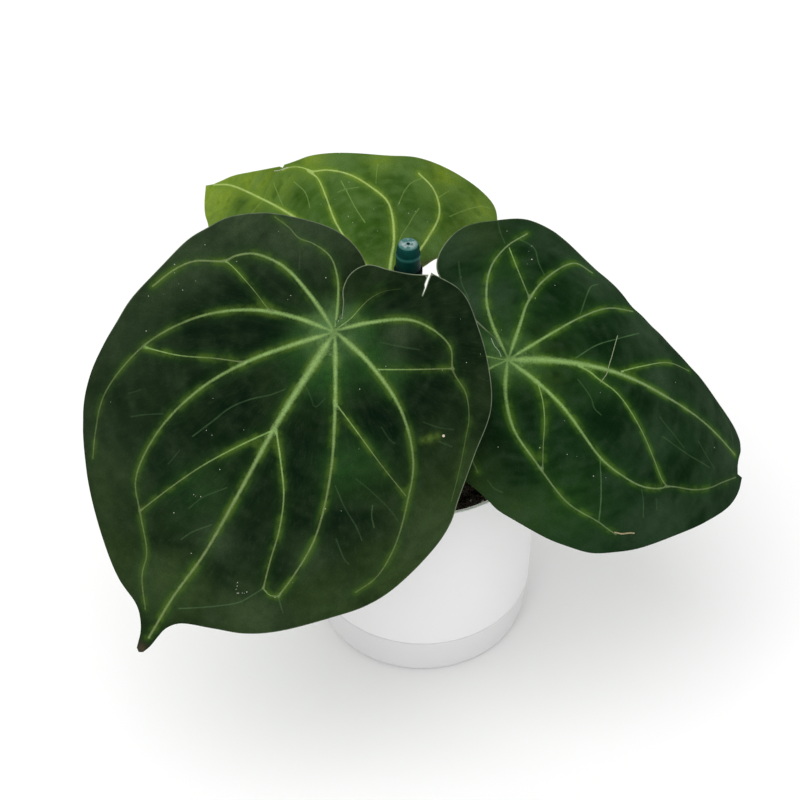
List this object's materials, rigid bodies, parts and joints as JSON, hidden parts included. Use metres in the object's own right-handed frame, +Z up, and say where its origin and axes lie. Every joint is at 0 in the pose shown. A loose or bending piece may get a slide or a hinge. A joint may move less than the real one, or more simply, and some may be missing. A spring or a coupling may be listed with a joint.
{
  "type": "potted velvet anthurium",
  "caption": "Velvet-leaved aroid with heart-shaped, pale-veined blades on curved petioles, standing in a round white self-watering pot with a water gauge.",
  "frame": {"origin": "centre of the pot's flat underside, on the surface it stands on", "axes": "+Z up along the pot's axis; -Y towards the front, where the largest blade hangs; +X towards the right-hand blade"},
  "size_m": [0.3998, 0.3704, 0.3472],
  "materials": {
    "pot_lower": "satin moulded white",
    "pot_upper": "satin moulded white",
    "mix": "moist bark and peat, crumbly",
    "gauge_dark": "satin black-teal",
    "gauge_teal": "satin dark teal",
    "gauge_inner": "plain moulded",
    "stem": "smooth living stalk, light green",
    "velvet_dark": "velvety near-black green, pale veins",
    "velvet_deep": "velvety deep green, pale veins",
    "velvet_young": "soft mid green to lime, pale veins"
  },
  "bodies": {
    "root": {"reservoir_base": "pot_lower", "planter_pot": "pot_upper", "potting_mix": "mix", "gauge_tube": "gauge_dark", "gauge_cap": "gauge_teal", "gauge_float": "gauge_inner", "crown": "stem", "petiole_front": "stem", "petiole_right": "stem", "petiole_back": "stem", "blade_front": "velvet_dark", "blade_right": "velvet_deep", "blade_back": "velvet_young"}
  },
  "joints": []
}
